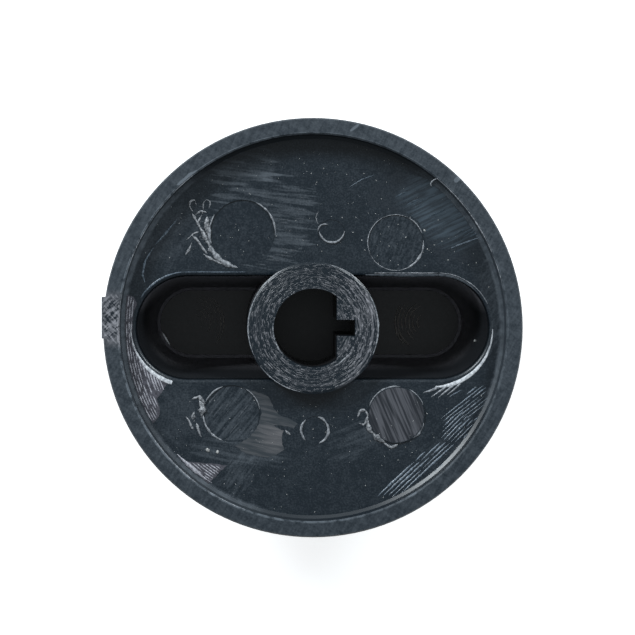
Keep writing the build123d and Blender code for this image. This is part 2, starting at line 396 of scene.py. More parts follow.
# The pocket is painted a darker black as painted shade, and its painted light is laid over that
colour = blend_colours(tree, in_pocket, colour, POCKET_PAINTED_SHADE)
colour = blend_colours(tree, pocket_painted_light, colour, dust)
worn = ramp(tree, scuff, 0.0, 0.6, 0.30, 0.60)
worn = calc(tree, "MULTIPLY_ADD", outside, 0.06, worn)
faces = calc(tree, "ADD", calc(tree, "ADD", on_rim, on_hub), calc(tree, "ADD", on_floor, outside))
at_corner = product(tree, ramp(tree, radius, CORNER_START, CORNER_END), ramp(tree, x, -4.0, 7.0, 0.45, 0.09))
walls = calc(tree, "ADD", at_corner, calc(tree, "MULTIPLY_ADD", in_bore, 0.05, 0.24))
walls = calc(tree, "MULTIPLY_ADD", product(tree, on_wall, below_mouth), 0.22, walls)
worn = calc(tree, "MULTIPLY_ADD", calc(tree, "SUBTRACT", worn, walls), faces, walls)
set_finish(tree, shader, colour, worn)
relief = product(tree, relief, faces)
bump = add_node(
    tree, "ShaderNodeBump", {"Height": relief, "Strength": 0.5, "Distance": RELIEF_DEPTH * MILLIMETRE}
)
tree.links.new(bump.outputs[0], shader.inputs["Normal"])
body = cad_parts["knob_body"]
body.material_slots[0].material = body_plastic

# Cutter ridges: the end mill that roughed the mould left fine furrows beside the wall of the well, and
# the plastic filled them, so they stand on the floor as low ridges. They catch the light on three sides.
RIDGE_STEP = 0.22
WANDER_SCALE, LUMP_SCALE = 1400.0, 1900.0
SKIN_SINK, SKIN_RISE, SKIN_STEP = 0.02, 0.012, 0.25
AXIS = (0, 0)
draw = random.Random(11)

# A ridge follows a drawn line: a low half-round bank, thin at both ends, that wanders a little
ridge_tree = bpy.data.node_groups.new("raised ridges", "GeometryNodeTree")
for label, kind, value in (
    ("Lines", "NodeSocketGeometry", None),
    ("Width", "NodeSocketFloat", 0.0002),
    ("Height", "NodeSocketFloat", 0.00005),
    ("Wander", "NodeSocketFloat", 0.0),
    ("Taper", "NodeSocketFloat", 1.0),
    ("Unevenness", "NodeSocketFloat", 0.0),
    ("Material", "NodeSocketMaterial", None),
):
    socket = ridge_tree.interface.new_socket(label, in_out="INPUT", socket_type=kind)
    if value is not None:
        socket.default_value = value
ridge_tree.interface.new_socket("Ridges", in_out="OUTPUT", socket_type="NodeSocketGeometry")
start = ridge_tree.nodes.new("NodeGroupInput").outputs
end = ridge_tree.nodes.new("NodeGroupOutput")
curves = add_node(ridge_tree, "GeometryNodeMeshToCurve", {"Mesh": start["Lines"]}).outputs[0]
curves = add_node(
    ridge_tree, "GeometryNodeResampleCurve", {"Curve": curves, "Length": RIDGE_STEP * MILLIMETRE},
    mode="LENGTH",
).outputs[0]
here = add_node(ridge_tree, "GeometryNodeInputPosition").outputs[0]
drift = add_node(
    ridge_tree, "ShaderNodeTexNoise", {"Vector": here, "Scale": WANDER_SCALE, "Detail": 2.0}
).outputs["Color"]
drift = calc_vector(ridge_tree, "SUBTRACT", drift, (0.5, 0.5, 0.5))
level = add_node(ridge_tree, "ShaderNodeCombineXYZ", {0: start["Wander"], 1: start["Wander"]}).outputs[0]
drift = calc_vector(ridge_tree, "MULTIPLY", drift, level)
curves = add_node(ridge_tree, "GeometryNodeSetPosition", {"Geometry": curves, "Offset": drift}).outputs[0]
curves = add_node(ridge_tree, "GeometryNodeSetCurveNormal", {"Curve": curves}, mode="Z_UP").outputs[0]
section = add_node(
    ridge_tree, "GeometryNodeCurvePrimitiveCircle", {"Resolution": 8, "Radius": 1.0}
).outputs[0]
half_width = product(ridge_tree, start["Width"], 0.5)
section_size = add_node(
    ridge_tree, "ShaderNodeCombineXYZ", {0: half_width, 1: start["Height"], 2: 1.0}
).outputs[0]
section = add_node(
    ridge_tree, "GeometryNodeTransform", {"Geometry": section, "Scale": section_size}
).outputs[0]
along = add_node(ridge_tree, "GeometryNodeSplineParameter").outputs["Factor"]
lens = product(ridge_tree, along, inverse(ridge_tree, along))
lens = calc(ridge_tree, "SQRT", calc(ridge_tree, "MULTIPLY_ADD", lens, 3.96, 0.01))
swell = calc(ridge_tree, "MULTIPLY_ADD", calc(ridge_tree, "SUBTRACT", lens, 1.0), start["Taper"], 1.0)
weight = add_node(
    ridge_tree, "GeometryNodeInputNamedAttribute", {"Name": "weight"}, data_type="FLOAT"
).outputs["Attribute"]
lumps = calc(ridge_tree, "SUBTRACT", noise(ridge_tree, here, LUMP_SCALE, 1.0), 0.5)
lumps = product(ridge_tree, lumps, start["Unevenness"])
swell = product(ridge_tree, swell, weight, calc(ridge_tree, "MULTIPLY_ADD", lumps, 4.0, 1.0))
swell = calc(ridge_tree, "MAXIMUM", swell, 0.02)
banks = add_node(
    ridge_tree, "GeometryNodeCurveToMesh",
    {"Curve": curves, "Profile Curve": section, "Scale": swell, "Fill Caps": True},
).outputs[0]
banks = add_node(ridge_tree, "GeometryNodeRealizeInstances", {0: banks}).outputs[0]
banks = add_node(
    ridge_tree, "GeometryNodeSetMaterial", {"Geometry": banks, "Material": start["Material"]}
).outputs[0]
ridge_tree.links.new(banks, end.inputs[0])


def add_to_knob(name, mesh):
    """A finished mesh as a piece that rides on the knob."""
    piece = bpy.data.objects.new(name, mesh)
    bpy.context.scene.collection.objects.link(piece)
    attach(piece, "root")
    return piece


def finish_piece(source, name):
    """Turns an object with a node tree into a plain mesh piece that rides on the knob."""
    bpy.context.scene.collection.objects.link(source)
    evaluated = source.evaluated_get(bpy.context.evaluated_depsgraph_get())
    mesh = bpy.data.meshes.new_from_object(evaluated)
    mesh.name = name
    bpy.data.objects.remove(source)
    return add_to_knob(name, mesh)


def set_inputs(modifier, values):
    """Sets a node tree's inputs by their names."""
    for item in modifier.node_group.interface.items_tree:
        if item.name in values and item.in_out == "INPUT":
            modifier[item.identifier] = values[item.name]


def raised_ridges(name, strokes, width, height, material, wander=0.0, taper=1.0, lumps=0.0):
    """Ridges along strokes, each a path in millimetres and its weight, or weights spread along it."""
    points, edges, weights = [], [], []
    for weight, path in strokes:
        spread = weight if isinstance(weight, tuple) else (weight, weight)
        edges += [(len(points) + step, len(points) + step + 1) for step in range(len(path) - 1)]
        points += [tuple(value * MILLIMETRE for value in point) for point in path]
        for step in range(len(path)):
            place, part = divmod(step / (len(path) - 1) * (len(spread) - 1), 1)
            nearer, further = spread[int(place)], spread[min(int(place) + 1, len(spread) - 1)]
            weights.append(nearer + (further - nearer) * part)
    mesh = bpy.data.meshes.new(name + "_lines")
    mesh.from_pydata(points, edges, [])
    mesh.attributes.new("weight", "FLOAT", "POINT").data.foreach_set("value", weights)
    lines = bpy.data.objects.new(name + "_lines", mesh)
    modifier = lines.modifiers.new("ridges", "NODES")
    modifier.node_group = ridge_tree
    set_inputs(modifier, {
        "Width": width * MILLIMETRE, "Height": height * MILLIMETRE, "Wander": wander * MILLIMETRE,
        "Taper": taper, "Unevenness": lumps, "Material": material,
    })
    piece = finish_piece(lines, name)
    piece.data.polygons.foreach_set("use_smooth", [True] * len(piece.data.polygons))


def inside(border, x, y):
    """Whether a place lies inside a closed border."""
    within = False
    for (x1, y1), (x2, y2) in zip(border, border[1:] + border[:1]):
        if (y1 > y) != (y2 > y) and x < x1 + (y - y1) * (x2 - x1) / (y2 - y1):
            within = not within
    return within


def arc(centre, radius, first, last, height, growth=0.0):
    """Points along an arc, from one angle to another in degrees, whose radius may grow on the way."""
    count = max(3, int(abs(last - first) * radius / 15))
    points = []
    for step in range(count + 1):
        turn = math.radians(first + (last - first) * step / count)
        reach = radius + growth * step / count
        points.append((centre[0] + reach * math.cos(turn), centre[1] + reach * math.sin(turn), height))
    return points


def on_level(height, *places):
    """Points at one height."""
    return [(x, y, height) for x, y in places]


def straight(x, y, turn, length, height):
    """Points along a straight line through a place."""
    count = max(2, int(length / RIDGE_STEP))
    reaches = [length * (step / count - 0.5) for step in range(count + 1)]
    across, up = math.cos(math.radians(turn)), math.sin(math.radians(turn))
    return [(x + reach * across, y + reach * up, height) for reach in reaches]


def parallel_lines(border, turn, pitch, height):
    """Parallel lines that cover a border's whole box."""
    middle_x = sum(x for x, y in border) / len(border)
    middle_y = sum(y for x, y in border) / len(border)
    span = max(math.dist(corner, (middle_x, middle_y)) for corner in border)
    side = math.radians(turn + 90)
    lines = []
    for step in range(-int(span / pitch), int(span / pitch) + 1):
        x = middle_x + step * pitch * math.cos(side)
        y = middle_y + step * pitch * math.sin(side)
        lines.append(straight(x, y, turn, 2 * span, height))
    return lines


def cut_to(border, lines, lengths, gap, weights, bare=()):
    """The stretches of lines inside a border and outside bare circles, broken into uneven strokes."""
    strokes = []
    for line in lines:
        path, limit = [], draw.uniform(*lengths)
        for point in line:
            kept = inside(border, point[0], point[1])
            kept = kept and all(math.dist(point[:2], place) > radius for place, radius in bare)
            if kept:
                path.append(point)
            full = len(path) * RIDGE_STEP > limit
            if path and (full or not kept):
                if len(path) > 3 and draw.random() > gap:
                    strokes.append((draw.uniform(*weights), path))
                path, limit = [], draw.uniform(*lengths)
        if len(path) > 3:
            strokes.append((draw.uniform(*weights), path))
    return strokes


def grainy_plastic(name, dark, light, smooth, matt, grain_size):
    """Plastic with a speckle between two tones and a clouded gloss."""
    material, tree, position, shader = new_material(name)
    grain = place_group(tree, grain_group, {"Position": position, "Grain": grain_size})
    tone = ramp(tree, grain["Speckle"], 0.30, 0.70)
    colour = blend_colours(tree, tone, (*dark, 1), (*light, 1))
    set_finish(tree, shader, colour, ramp(tree, grain["Cloud"], 0.3, 0.7, smooth, matt))
    return material


def flat_plates(name, edges, bottom, top, material):
    """Flat plates between two heights, one inside each edge."""
    points, faces = [], []
    for edge in edges:
        first, count = len(points), len(edge)
        for height in (bottom, top):
            points += [(x * MILLIMETRE, y * MILLIMETRE, height * MILLIMETRE) for x, y in edge]
        lower, upper = list(range(first, first + count)), list(range(first + count, first + 2 * count))
        faces += [lower[::-1], upper]
        for i in range(count):
            j = (i + 1) % count
            faces.append((lower[i], lower[j], upper[j], upper[i]))
    mesh = bpy.data.meshes.new(name)
    mesh.from_pydata(points, [], faces)
    mesh.materials.append(material)
    add_to_knob(name, mesh)


def thin_skin(name, borders, height, material, tear):
    """Flat patches on a level face, each inside a closed border with a finely torn edge."""
    edges = []
    for border in borders:
        edge = []
        for (x1, y1), (x2, y2) in zip(border, border[1:] + border[:1]):
            count = max(1, int(math.dist((x1, y1), (x2, y2)) / SKIN_STEP))
            for step in range(count):
                x, y = x1 + (x2 - x1) * step / count, y1 + (y2 - y1) * step / count
                edge.append((x + draw.uniform(-tear, tear), y + draw.uniform(-tear, tear)))
        if sum(x1 * y2 - x2 * y1 for (x1, y1), (x2, y2) in zip(edge, edge[1:] + edge[:1])) < 0:
            edge.reverse()
        edges.append(edge)
    flat_plates(name, edges, height - SKIN_SINK, height + SKIN_RISE, material)


ridge_plastic = grainy_plastic(
    "furrowed_plastic", (0.042, 0.058, 0.077), (0.17, 0.21, 0.255), 0.24, 0.38, 0.2
)
hatched_ground = grainy_plastic(
    "hatched_ground", (0.038, 0.038, 0.047), (0.092, 0.090, 0.110), 0.35, 0.5, 0.25
)
hatched_plastic = grainy_plastic(
    "hatched_plastic", (0.19, 0.187, 0.215), (0.46, 0.46, 0.50), 0.32, 0.45, 0.25
)
# Whitened plastic for the lips round the pins, also used for pale ridges whose colour is a painted highlight
whitened_and_highlight_plastic = grainy_plastic(
    "whitened_plastic_and_highlights", (0.10, 0.11, 0.125), (0.34, 0.355, 0.38), 0.35, 0.5, 0.25
)

LOWER_BUNDLE = [
    (6.4, -17.3), (7.0, -15.9), (9.4, -13.9), (11.9, -12.5), (12.7, -11.8), (14.1, -11.7), (14.9, -12.3),
    (12.5, -14.9), (10.3, -16.5), (8.3, -17.4),
]
MIDDLE_BUNDLE = [
    (13.1, -11.6), (13.3, -9.8), (13.9, -9.1), (15.4, -8.5), (16.6, -9.6), (15.9, -11.0), (14.7, -12.0),
]
UPPER_FAN = [
    (12.9, -9.0), (16.4, -6.0), (17.7, -5.9), (18.0, -7.2), (16.7, -9.8), (14.9, -9.2), (13.4, -9.8),
]
strokes = []
for border, turn, pitch, lengths, weights in (
    (LOWER_BUNDLE, 43, 0.36, (4.0, 8.0), (0.65, 1.15)),
    (MIDDLE_BUNDLE, 45, 0.33, (1.8, 4.0), (0.5, 0.9)),
    (UPPER_FAN, 38, 0.32, (3.0, 7.0), (0.35, 0.75)),
):
    lines = parallel_lines(border, turn, pitch, WELL_FLOOR)
    for weight, path in cut_to(border, lines, lengths, 0.05, weights):
        strokes.append(((0.6 * weight, weight, 1.2 * weight, 0.9 * weight), path))
raised_ridges("cutter_ridges_right", strokes, 0.22, 0.07, ridge_plastic, wander=0.06, taper=0.8, lumps=0.4)

LEFT_BORDER = [
    (-18.95, 3.3), (-18.3, 3.1), (-17.95, 2.4), (-18.3, 1.4), (-18.42, 0.3), (-18.42, -0.6), (-18.3, -1.5),
    (-17.9, -2.6), (-17.4, -3.4), (-16.8, -4.2), (-16.1, -4.8), (-15.4, -5.3), (-14.9, -5.7), (-15.2, -6.4),
    (-15.7, -6.9), (-15.9, -7.3), (-15.6, -8.1), (-15.7, -9.1), (-16.3, -9.8), (-17.1, -8.5), (-17.85, -7.0),
    (-18.5, -5.0), (-18.95, -2.7), (-19.15, -0.2), (-19.1, 1.8),
]
LOWER_BORDER = [(-13.4, -13.6), (-8.8, -14.1), (-10.7, -16.0), (-11.3, -15.3), (-12.4, -14.5)]
LEFT_PITCH = 0.25
FIRST_RING, RING_COUNT = 13.0, 25
CORNER_RING = 18.95
thin_skin("hatched_ground", (LEFT_BORDER, LOWER_BORDER), WELL_FLOOR, hatched_ground, 0.06)
ring_lines = [
    arc(AXIS, FIRST_RING + LEFT_PITCH * step, 160, 260, WELL_FLOOR) for step in range(RING_COUNT)
]
strokes = cut_to(LEFT_BORDER, ring_lines, (0.8, 1.9), 0.03, (0.6, 1.15))
strokes += cut_to(LOWER_BORDER, ring_lines, (1.0, 3.5), 0.05, (0.6, 1.0))
strokes += [((0.8, 2.2, 2.6, 1.6, 0.6), arc(AXIS, CORNER_RING, 223, 237, WELL_FLOOR))]
raised_ridges("cutter_ridges_left", strokes, 0.165, 0.05, hatched_plastic, wander=0.05, taper=0.7, lumps=0.4)

# Polishing streaks: long shallow lines where the mould's floor was rubbed down by hand, copied by the
# plastic. They run across the floor beside the pocket and stop at the faces of the ejector pins.
PIN_EDGES = (
    (UPPER_LEFT_PIN, 3.3), (UPPER_RIGHT_PIN, 2.85), (LOWER_LEFT_PIN, 2.9), (LOWER_RIGHT_PIN, 2.88),
)
UPPER_LEFT = [
    (-12.0, 13.6), (-1.8, 14.1), (-0.3, 12.4), (-0.6, 10.2), (-1.8, 9.2), (-0.9, 8.0), (-0.9, 7.2),
    (-5.2, 6.1), (-10.0, 6.7), (-12.0, 9.0),
]
FAR_LEFT = [(-11.0, 17.6), (-4.0, 17.9), (-3.6, 15.0), (-11.6, 14.2)]
UPPER_RIGHT = [(7.3, 13.6), (12.6, 15.1), (16.4, 12.5), (17.5, 9.3), (15.4, 9.0), (11.6, 10.6)]
STREAK_SINK = 0.019
streaks = []
for border, turn, pitch, gap in ((UPPER_LEFT, -7, 0.30, 0.45), (FAR_LEFT, -6, 0.45, 0.5)):
    lines = parallel_lines(border, turn, pitch, WELL_FLOOR - STREAK_SINK)
    streaks += cut_to(border, lines, (1.0, 4.0), gap, (0.4, 1.0), PIN_EDGES)
lines = parallel_lines(UPPER_RIGHT, 25, 0.30, WELL_FLOOR - STREAK_SINK)
blue_streaks = cut_to(UPPER_RIGHT, lines, (1.5, 5.0), 0.3, (0.5, 1.1), PIN_EDGES)
RUBBED_AREA = [
    (5.8, 14.2), (8.6, 15.9), (11.6, 15.2), (13.9, 13.1), (15.6, 11.0), (16.9, 8.9), (17.7, 7.0),
    (15.4, 6.7), (13.2, 6.9), (11.7, 8.1), (11.4, 9.4), (10.9, 10.7), (9.6, 11.7), (8.0, 11.9), (5.6, 12.5),
]
blued_skin, tree, position, shader = new_material("blued_skin")
marks = place_group(tree, patch_group, {
    "Position": position, "Centre": (13.0, 12.0, WELL_FLOOR), "Half Size": (5.6, 3.6, 9.0),
    "Turn": math.radians(-45), "Softness": 0.85, "Raggedness": 0.4, "Streak Turn": math.radians(25),
    "Pitch": 0.25, "Length": 12.0,
})
grain = place_group(tree, grain_group, {"Position": position, "Grain": GRAIN_SIZE})
tone = product(tree, marks["Mask"], ramp(tree, marks["Lines"], 0.0, 1.0, 0.40, 1.1))
grit = ramp(tree, grain["Speckle"], 0.35, 0.65)
ground = blend_colours(tree, grit, (0.008, 0.014, 0.021, 1), (0.021, 0.028, 0.036, 1))
colour = blend_colours(tree, tone, ground, (0.052, 0.074, 0.095, 1))
set_finish(tree, shader, colour, ramp(tree, marks["Mask"], 0.0, 1.0, 0.32, 0.40))
rubbed_plastic = grainy_plastic(
    "rubbed_plastic", (0.022, 0.029, 0.037), (0.062, 0.073, 0.087), 0.34, 0.5, 0.3
)
raised_ridges("polishing_streaks", streaks, 0.24, 0.03, rubbed_plastic, wander=0.10, lumps=0.2)
blued_plastic = grainy_plastic(
    "blued_plastic", (0.018, 0.030, 0.042), (0.050, 0.074, 0.098), 0.30, 0.45, 0.3
)
raised_ridges("polishing_streaks_right", blue_streaks, 0.24, 0.034, blued_plastic, wander=0.10, lumps=0.2)
thin_skin("rubbed_area", (RUBBED_AREA,), WELL_FLOOR - 0.006, blued_skin, 0.05)

# Scraped wedge: beside the lower left pin the mould's floor was scraped with a hand tool, and the plastic
# copies it as a pale, torn skin that thins out towards the middle.
WEDGE = [
    (-6.4, -6.45), (-5.1, -6.8), (-4.4, -7.25), (-4.0, -8.2), (-3.3, -9.0), (-2.2, -9.4), (-1.6, -9.8),
    (-2.0, -10.3), (-2.9, -10.1), (-4.3, -9.9), (-3.0, -10.6), (-3.2, -11.6), (-2.9, -12.5), (-3.8, -13.05),
    (-4.6, -13.25), (-6.8, -12.9), (-8.0, -12.1), (-6.8, -11.5), (-5.7, -10.35), (-5.25, -8.8), (-5.7, -7.3),
]
wedge_skin, tree, position, shader = new_material("scraped_skin")
marks = place_group(tree, patch_group, {
    "Position": position, "Centre": (-3.7, -11.2, WELL_FLOOR), "Half Size": (2.6, 1.8, 9.0), "Turn": 0.0,
    "Softness": 0.9, "Raggedness": 0.3, "Streak Turn": math.radians(-14), "Pitch": 0.26, "Length": 9.0,
})
tone = calc(tree, "MULTIPLY_ADD", marks["Mask"], 0.55, product(tree, marks["Lines"], 0.25))
colour = blend_colours(tree, tone, (0.033, 0.041, 0.049, 1), (0.145, 0.140, 0.147, 1))
set_finish(tree, shader, colour, ramp(tree, marks["Lines"], 0.0, 1.0, 0.36, 0.55))
thin_skin("scraped_wedge", (WEDGE,), WELL_FLOOR, wedge_skin, 0.07)

# Faces of the ejector pins: round steel pins push the moulding out, and their filed ends print into the
# plastic. The two lower faces still show the file's strokes. One stands proud, the other is sunk.
PROUD_PIN, SUNK_PIN = WELL_FLOOR + 0.18, WELL_FLOOR - 0.1
filed_skin, tree, position, shader = new_material("filed_skin")
marks = place_group(tree, patch_group, {
    "Position": position, "Centre": (*LOWER_RIGHT_PIN, PROUD_PIN), "Half Size": (4.0, 4.0, 9.0), "Turn": 0.0,
    "Softness": 0.5, "Raggedness": 0.0, "Streak Turn": math.radians(-67), "Pitch": 0.24, "Length": 18.0,
})
colour = blend_colours(tree, marks["Lines"], (0.016, 0.019, 0.025, 1), (0.080, 0.083, 0.096, 1))
set_finish(tree, shader, colour, ramp(tree, marks["Lines"], 0.0, 1.0, 0.34, 0.5))
pin_face = [point[:2] for point in arc(PIN_EDGES[3][0], PIN_EDGES[3][1] - 0.08, 0, 340, PROUD_PIN)]
thin_skin("filed_pin_face", (pin_face,), PROUD_PIN, filed_skin, 0.01)
streaks = []
for (middle, reach), turn, height in ((PIN_EDGES[3], -67, PROUD_PIN), (PIN_EDGES[2], 50, SUNK_PIN)):
    border = [point[:2] for point in arc(middle, reach - 0.1, 0, 350, height)]
    lines = parallel_lines(border, turn, 0.4, height - STREAK_SINK)
    streaks += cut_to(border, lines, (1.0, 4.5), 0.4, (0.4, 1.0))
raised_ridges("pin_face_streaks", streaks, 0.22, 0.03, rubbed_plastic, wander=0.06, lumps=0.2)

# Turning rings: the hub's end face copies a turned steel face, so fine broken rings run round the bore.
# Ridges on the hub's outer edge and on the edge of the bore stand in for their bevels, and their pale colour
# is a painted highlight.
RING_PITCH = 0.21
INNER_RING, HUB_RINGS = 4.35, 10
BORE_FLAT = 2.6
BORE_EDGE = 4.09
HUB_EDGE = HUB_RADIUS - 0.1
HUB_EDGE_HEIGHT = HUB_PLANE - 0.06
# Arcs of the hub's edge that get a painted highlight: weight, first and last angle
EDGE_HIGHLIGHT_ARCS = ((0.75, 118, 205), (0.8, -25, 30), (0.6, 48, 75), (0.5, 215, 260))
DASHED_SIDES = ((35, 40), (200, 55))
dashes = []
for ring in range(HUB_RINGS):
    radius = INNER_RING + RING_PITCH * ring
    turn = draw.uniform(0, 20)
    while turn < 360:
        sweep = draw.uniform(3, 16)
        near = any(abs((turn - middle + 180) % 360 - 180) < reach for middle, reach in DASHED_SIDES)
        on_face = radius * math.cos(math.radians(turn)) < BORE_FLAT or radius > INNER_RING + 0.15
        if draw.random() < (0.4 if near else 0.1) and on_face:
            weight = draw.uniform(0.4, 1.1 if near else 0.6)
            dashes.append((weight, arc(AXIS, radius, turn, turn + sweep, HUB_PLANE - 0.005)))
        turn += sweep + draw.uniform(1, 6)
turned_plastic = grainy_plastic(
    "turned_plastic", (0.04, 0.042, 0.048), (0.25, 0.25, 0.27), 0.30, 0.45, 0.3
)
raised_ridges("hub_turning_rings", dashes, 0.10, 0.02, turned_plastic, wander=0.03, lumps=0.5)
bevels = [(weight, arc(AXIS, HUB_EDGE, first, last, HUB_EDGE_HEIGHT)) for weight, first, last in EDGE_HIGHLIGHT_ARCS]
bevels += [
    (0.7, on_level(HUB_PLANE, (2.6, -3.65), (3.2, -3.1), (3.7, -2.55))),
    ((0.3, 0.8, 0.6, 0.3), arc(AXIS, BORE_EDGE, 155, 240, HUB_PLANE - 0.02)),
]
raised_ridges("hub_edge_highlights", bevels, 0.17, 0.05, whitened_and_highlight_plastic, wander=0.05, lumps=0.7)

# Lips round the ejector pins: plastic that crept into the gap round each pin and stands up as a thin
# broken edge. Centre, radius, first and last angle, weight.
PIN_LIPS = (
    (UPPER_LEFT_PIN, 3.32, -5, 66, 1.0), (UPPER_LEFT_PIN, 3.62, 200, 262, 2.6),
    (UPPER_LEFT_PIN, 3.4, 148, 176, 0.6), (UPPER_LEFT_PIN, 3.42, 165, 200, 1.6),
    (UPPER_RIGHT_PIN, 2.85, -75, 5, 1.0), (UPPER_RIGHT_PIN, 2.85, 118, 205, 0.5),
    (UPPER_RIGHT_PIN, 2.85, 205, 290, 0.35), (UPPER_RIGHT_PIN, 2.85, 20, 62, 0.5),
    (UPPER_RIGHT_PIN, 2.85, 62, 118, 0.3), (LOWER_LEFT_PIN, 2.9, 183, 252, 1.2),
    (LOWER_LEFT_PIN, 2.9, 108, 156, 0.9), (LOWER_LEFT_PIN, 2.9, 8, 60, 0.6),
    (LOWER_RIGHT_PIN, 2.9, 83, 162, 1.0), (LOWER_RIGHT_PIN, 2.9, 20, 63, 0.8),
    (LOWER_RIGHT_PIN, 2.9, -56, -16, 1.8), ((1.95, 9.95), 1.3, 185, 355, 1.1),
    ((1.2, 9.85), 0.7, 60, 185, 0.8), ((0.2, -10.5), 1.4, 130, 228, 1.3), ((0.2, -10.5), 1.4, -72, 78, 1.5),
)
lips = [
    (weight, arc(centre, reach, first, last, WELL_FLOOR)) for centre, reach, first, last, weight in PIN_LIPS
]
raised_ridges("pin_lips", lips, 0.2, 0.07, whitened_and_highlight_plastic, wander=0.08, lumps=0.5)

# Flash: shreds of plastic, torn and folded where the pins pushed the hot part out of the mould. They cling
# to the floor beside the pins. Weight, path.
FLASH = (
    (1.0, ((-12.3, 11.6), (-11.7, 10.6), (-11.1, 9.4), (-10.3, 8.0))),
    (0.9, ((-12.3, 9.4), (-11.6, 8.7), (-10.8, 7.5))),
    (0.8, ((-12.3, 8.7), (-12.6, 8.0), (-13.0, 7.4))),
    (0.7, ((-11.3, 11.5), (-11.8, 10.6))),
    (0.5, ((-12.2, 11.8), (-12.6, 12.3), (-12.5, 12.9), (-12.0, 13.0), (-11.9, 12.4))),
    (0.5, ((-11.1, 12.0), (-11.2, 12.7), (-10.8, 13.1), (-10.4, 12.8), (-10.6, 12.2))),
    (0.6, ((-12.0, 11.5), (-11.4, 11.9), (-10.8, 11.7))),
    (0.6, ((-12.9, 8.9), (-12.1, 9.6), (-11.6, 9.8))),
    (0.7, ((-11.2, 7.5), (-10.3, 6.9), (-9.3, 6.5), (-8.3, 6.4))),
    (1.5, ((-10.8, 11.3), (-10.8, 10.4), (-10.7, 9.4))),
    (1.6, ((-10.6, 8.1), (-10.4, 7.7))),
    (1.0, ((-12.3, -7.3), (-11.6, -7.05), (-11.0, -7.8))),
    (1.8, ((-11.6, -7.4), (-11.2, -8.2), (-11.4, -9.2))),
    (1.0, ((-12.1, -8.6), (-12.3, -9.4))),
    (0.8, ((-12.9, -9.1), (-12.2, -10.5))),
    (0.9, ((-11.9, -9.8), (-11.4, -11.2))),
    (1.7, ((5.5, -9.4), (5.9, -10.6), (6.5, -11.2), (7.4, -11.8))),
    (1.0, ((7.2, -11.8), (7.95, -12.3), (8.7, -12.0))),
    (0.9, ((4.6, -9.2), (4.8, -8.5), (5.4, -8.5), (5.7, -9.2), (5.2, -10.0), (4.7, -9.8))),
    (0.9, ((-2.8, -10.5), (-2.3, -11.0))),
    (0.25, ((0.5, 10.5), (0.3, 11.2), (0.6, 11.9))),
)
shreds = [(weight, on_level(WELL_FLOOR, *path)) for weight, path in FLASH]
torn_plastic = grainy_plastic(
    "torn_plastic", (0.07, 0.078, 0.088), (0.36, 0.37, 0.39), 0.32, 0.5, 0.22
)
raised_ridges("mould_flash", shreds, 0.32, 0.12, torn_plastic, wander=0.24, lumps=0.9)

# Edges of the pocket's mouth: pale bands at its two ends, whose near-white colour is a painted
# highlight of the rounded mouth, and a thin light line along its far edge. Each stroke has its weight or
# weights, then its path.
MOUTH_RADIUS = 5.67
MOUTH_TOP = MOUTH_RADIUS - 0.02
LINE_EDGE = 5.55
ROLLED_EDGE = 5.36
ROLLED_HEIGHT = WELL_FLOOR - 0.1
mouth_highlight_bands = [
    ((0.3, 0.5, 0.7, 1.05, 1.1, 0.5), arc((POCKET_CENTRE, 0), 5.64, -2, -92, WELL_FLOOR, 0.46)),
    ((0.35, 0.45, 0.55, 0.8, 1.15, 1.4), arc((-POCKET_CENTRE, 0), 5.82, 178, 254, WELL_FLOOR, 0.06)),
]
# Near-white plastic whose colour is a painted highlight of the mouth's rounded ends
painted_highlight_plastic = grainy_plastic(
    "painted_highlight_plastic", (0.40, 0.42, 0.45), (0.80, 0.82, 0.85), 0.35, 0.5, 0.3
)
raised_ridges("mouth_end_highlights", mouth_highlight_bands, 0.42, 0.05, painted_highlight_plastic, wander=0.04, taper=0.35, lumps=0.15)

edges = [
    (1.0, arc((-POCKET_CENTRE, 0), MOUTH_RADIUS, 148, 95, WELL_FLOOR)),
    (0.6, on_level(WELL_FLOOR, (-13.4, MOUTH_TOP), (-10.0, MOUTH_TOP), (-6.8, MOUTH_TOP))),
    (0.7, on_level(WELL_FLOOR, (14.0, -7.1), (15.2, -6.4))),
    (0.8, on_level(WELL_FLOOR, (14.1, 8.1), (15.7, 8.7), (17.2, 9.2))),
    (0.4, on_level(WELL_FLOOR, (3.7, 14.3), (5.0, 15.1), (6.4, 15.6))),
    ((0.6, 1.3, 0.7), on_level(WELL_FLOOR, (-13.8, 11.05), (-15.1, 9.5), (-16.1, 8.4))),
    ((0.5, 1.0, 1.6, 0.8), on_level(WELL_FLOOR, (-16.2, 8.2), (-17.1, 6.8), (-17.4, 5.4), (-17.1, 4.5))),
]
raised_ridges("scraped_lines", edges, 0.2, 0.05, ridge_plastic, wander=0.06, lumps=0.4)
feathers = [
    (0.4, on_level(WELL_FLOOR, (6.3, LINE_EDGE), (9.5, LINE_EDGE), (12.8, LINE_EDGE))),
    (0.45, arc((POCKET_CENTRE, 0), LINE_EDGE, 88, 25, WELL_FLOOR, 0.1)),
    ((0.5, 1.2), on_level(WELL_FLOOR, (11.3, -6.65), (12.0, -6.5), (13.0, -6.1))),
    ((0.4, 1.3), on_level(WELL_FLOOR, (12.1, -7.15), (12.8, -6.65), (13.7, -6.05))),
    ((0.3, 1.2), on_level(WELL_FLOOR, (12.8, -7.2), (13.5, -6.65), (14.4, -5.95))),
    ((0.3, 1.0), on_level(WELL_FLOOR, (13.7, -6.95), (14.4, -6.4), (15.1, -5.75))),
]
raised_ridges("mouth_feathers", feathers, 0.22, 0.06, whitened_and_highlight_plastic, wander=0.06, taper=0.5, lumps=0.5)
